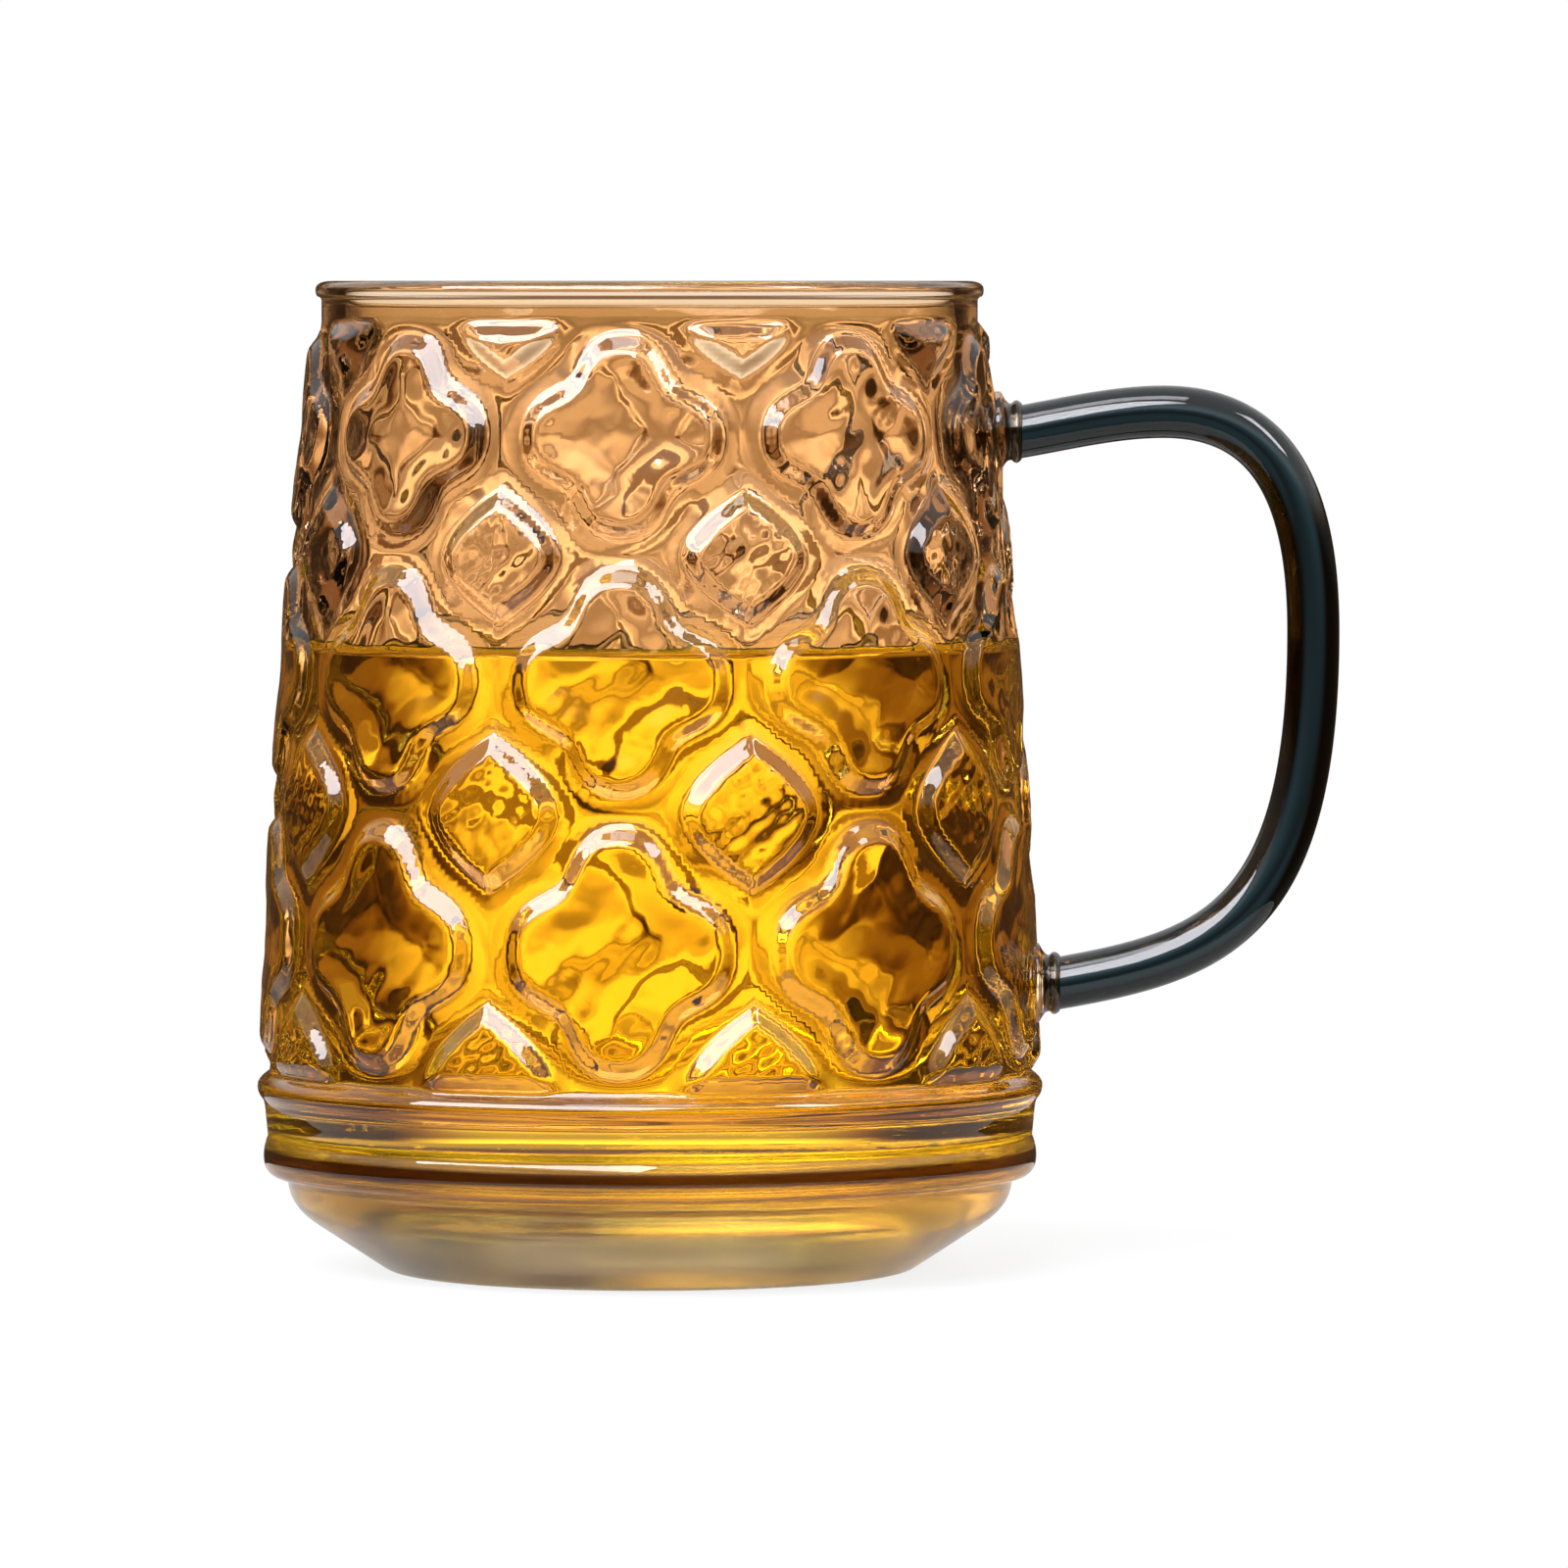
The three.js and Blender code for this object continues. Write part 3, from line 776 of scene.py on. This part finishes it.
def studio():
    """White surroundings for the eye.

    The glass shows a lit backdrop between dark flags, and mirrors a dark room under a white ceiling.
    """
    scene = bpy.context.scene
    scene.view_settings.view_transform = "Standard"
    scene.cycles.max_bounces = LIGHT_BOUNCES
    scene.cycles.transmission_bounces = LIGHT_BOUNCES
    scene.cycles.glossy_bounces = MIRROR_BOUNCES
    world = bpy.data.worlds.new("studio")
    scene.world = world
    world.use_nodes = True
    tree = world.node_tree
    nodes, links = tree.nodes, tree.links

    def ramp(value, span, start, end):
        return remap(tree, value, span, start, end, "SMOOTHSTEP")

    place = nodes.new("ShaderNodeTexCoord")
    split = nodes.new("ShaderNodeSeparateXYZ")
    links.new(place.outputs["Generated"], split.inputs["Vector"])
    x, y, z = (split.outputs[axis] for axis in "XYZ")
    turn = maths(tree, "MULTIPLY", maths(tree, "ARCTAN2", x, y), math.degrees(1))
    rise = maths(tree, "MULTIPLY", maths(tree, "ARCSINE", z), math.degrees(1))
    aside = maths(tree, "ABSOLUTE", maths(tree, "SUBTRACT", turn, BACKDROP_TURN))
    backdrop = ramp(rise, GLOW_START, ramp(rise, BACKDROP_FADE, *BACKDROP_LEVELS), GLOW_LEVEL)
    flags = ramp(maths(tree, "ABSOLUTE", turn), FLAG_END, FLAG_LEVEL, ROOM_LEVEL)
    low_flags = ramp(rise, FLAG_BOTTOM, flags, FLAG_BOTTOM_LEVEL)
    level = ramp(aside, FLAG_START, backdrop, low_flags)
    table = ramp(rise, TABLE_START, level, TABLE_LEVEL)
    behind = ramp(rise, CEILING_START, table, CEILING_LEVEL)
    mirrored = ramp(rise, CEILING_START, MIRRORED_ROOM_LEVEL, MIRRORED_CEILING_LEVEL)
    path = nodes.new("ShaderNodeLightPath")
    field = ramp(path.outputs["Is Transmission Ray"], (0.0, 1.0), mirrored, behind)

    through = maths(tree, "MAXIMUM", path.outputs["Is Glossy Ray"], path.outputs["Is Transmission Ray"])
    seen = nodes.new("ShaderNodeMix")
    seen.data_type = "FLOAT"
    links.new(through, seen.inputs["Factor"])
    seen.inputs["A"].default_value = 1.0
    links.new(field, seen.inputs["B"])
    links.new(seen.outputs["Result"], nodes["Background"].inputs["Strength"])
    hue = nodes.new("ShaderNodeMix")
    hue.data_type = "RGBA"
    links.new(ramp(seen.outputs["Result"], SHADE_LEVELS, 0.0, 1.0), hue.inputs["Factor"])
    hue.inputs["A"].default_value = (*SHADE_COLOUR, 1)
    hue.inputs["B"].default_value = (1, 1, 1, 1)
    links.new(hue.outputs["Result"], nodes["Background"].inputs["Color"])


def softbox(name, azimuth, elevation, size, radiance):
    """A lamp panel a metre away, of that brightness; the eye doesn't see it."""
    lamp = bpy.data.lights.new(name, "AREA")
    lamp.shape = "RECTANGLE"
    lamp.size, lamp.size_y = size
    lamp.energy = radiance * math.pi * size[0] * size[1]
    lamp.color = LAMP_COLOUR
    thing = bpy.data.objects.new(name, lamp)
    bpy.context.scene.collection.objects.link(thing)
    a, e = math.radians(azimuth), math.radians(elevation)
    away = Vector((math.sin(a) * math.cos(e), -math.cos(a) * math.cos(e), math.sin(e)))
    thing.location = Vector((0, 0, BODY_HEIGHT / 2)) + away * LAMP_DISTANCE
    thing.rotation_euler = away.to_track_quat("Z", "Y").to_euler()
    thing.visible_camera = False


def floor():
    """A pale round table, as white as what surrounds it, that keeps the mug's shadow."""
    rings = [around(FLOOR_SIDES, radius, -FLOOR_GAP) for radius in FLOOR_RADII]
    vertices, faces = stitch(rings, None, (0, 0, -FLOOR_GAP))
    mesh = bpy.data.meshes.new("floor")
    mesh.from_pydata([tuple(v) for v in vertices], [], faces)
    material = bpy.data.materials.new("floor_white")
    material.use_nodes = True
    tree = material.node_tree
    nodes, links = tree.nodes, tree.links
    shader = nodes["Principled BSDF"]
    shader.inputs["Base Color"].default_value = (*FLOOR_GREY, 1)
    shader.inputs["Roughness"].default_value = FLOOR_ROUGHNESS
    glow = nodes.new("ShaderNodeEmission")
    path = nodes.new("ShaderNodeLightPath")
    seen = path.outputs["Is Camera Ray"]
    links.new(remap(tree, seen, (0.0, 1.0), FLOOR_LEVEL_IN_GLASS, 1.0), glow.inputs["Strength"])
    for ray in ("Is Glossy Ray", "Is Transmission Ray"):
        seen = maths(tree, "MAXIMUM", seen, path.outputs[ray])
    mix = nodes.new("ShaderNodeMixShader")
    links.new(maths(tree, "MULTIPLY", seen, FLOOR_WHITE), mix.inputs["Fac"])
    links.new(shader.outputs["BSDF"], mix.inputs[1])
    links.new(glow.outputs["Emission"], mix.inputs[2])
    links.new(mix.outputs["Shader"], nodes["Material Output"].inputs["Surface"])
    mesh.materials.append(material)
    thing = bpy.data.objects.new("floor", mesh)
    bpy.context.scene.collection.objects.link(thing)


def camera():
    """Level with the rim, a little over a metre in front, as the photograph was taken."""
    lens = bpy.data.cameras.new("camera")
    thing = bpy.data.objects.new("camera", lens)
    bpy.context.scene.collection.objects.link(thing)
    aim = Vector(CAMERA_AIM)
    thing.location = (aim.x, -CAMERA_DISTANCE, BODY_HEIGHT)
    towards = aim - thing.location
    thing.rotation_euler = towards.to_track_quat("-Z", "Y").to_euler()
    lens.sensor_width = SENSOR_WIDTH_MM
    lens.lens = lens.sensor_width * towards.length / FRAME_WIDTH
    bpy.context.scene.camera = thing


# the amber glass's colour by height holds painted light, painted shade and a painted reflection of the
# table
amber_glass = glass("amber_glass", AMBER_SHADES_WITH_PAINTED_LIGHT, GLASS_IOR, *BODY_RIPPLE)
clear_glass = glass("clear_glass", CLEAR_SHADES, GLASS_IOR, *BODY_RIPPLE)
smoke_glass = deep_colour(glass("smoke_glass", CLEAR_SHADES, GLASS_IOR, *ROD_RIPPLE), *SMOKE_COLOUR)
weld_glass = deep_colour(glass("weld_glass", WELD_SHADES, GLASS_IOR, *WELD_RIPPLE), *WELD_COLOUR)
drink = deep_colour(glass("drink", CLEAR_SHADES, DRINK_IOR, *DRINK_RIPPLE), *DRINK_COLOUR)

body_piece(amber_glass, clear_glass)
handle_piece(smoke_glass)
collar_piece("upper_weld", UPPER_SEAT, UPPER_ROOT_HEIGHT, weld_glass, "upper_weld_collar")
collar_piece("lower_weld", LOWER_SEAT, LOWER_ROOT_HEIGHT, weld_glass, "lower_weld_collar")
drink_piece(drink)
studio()
for lamp in LAMPS:
    softbox(*lamp)
floor()
camera()
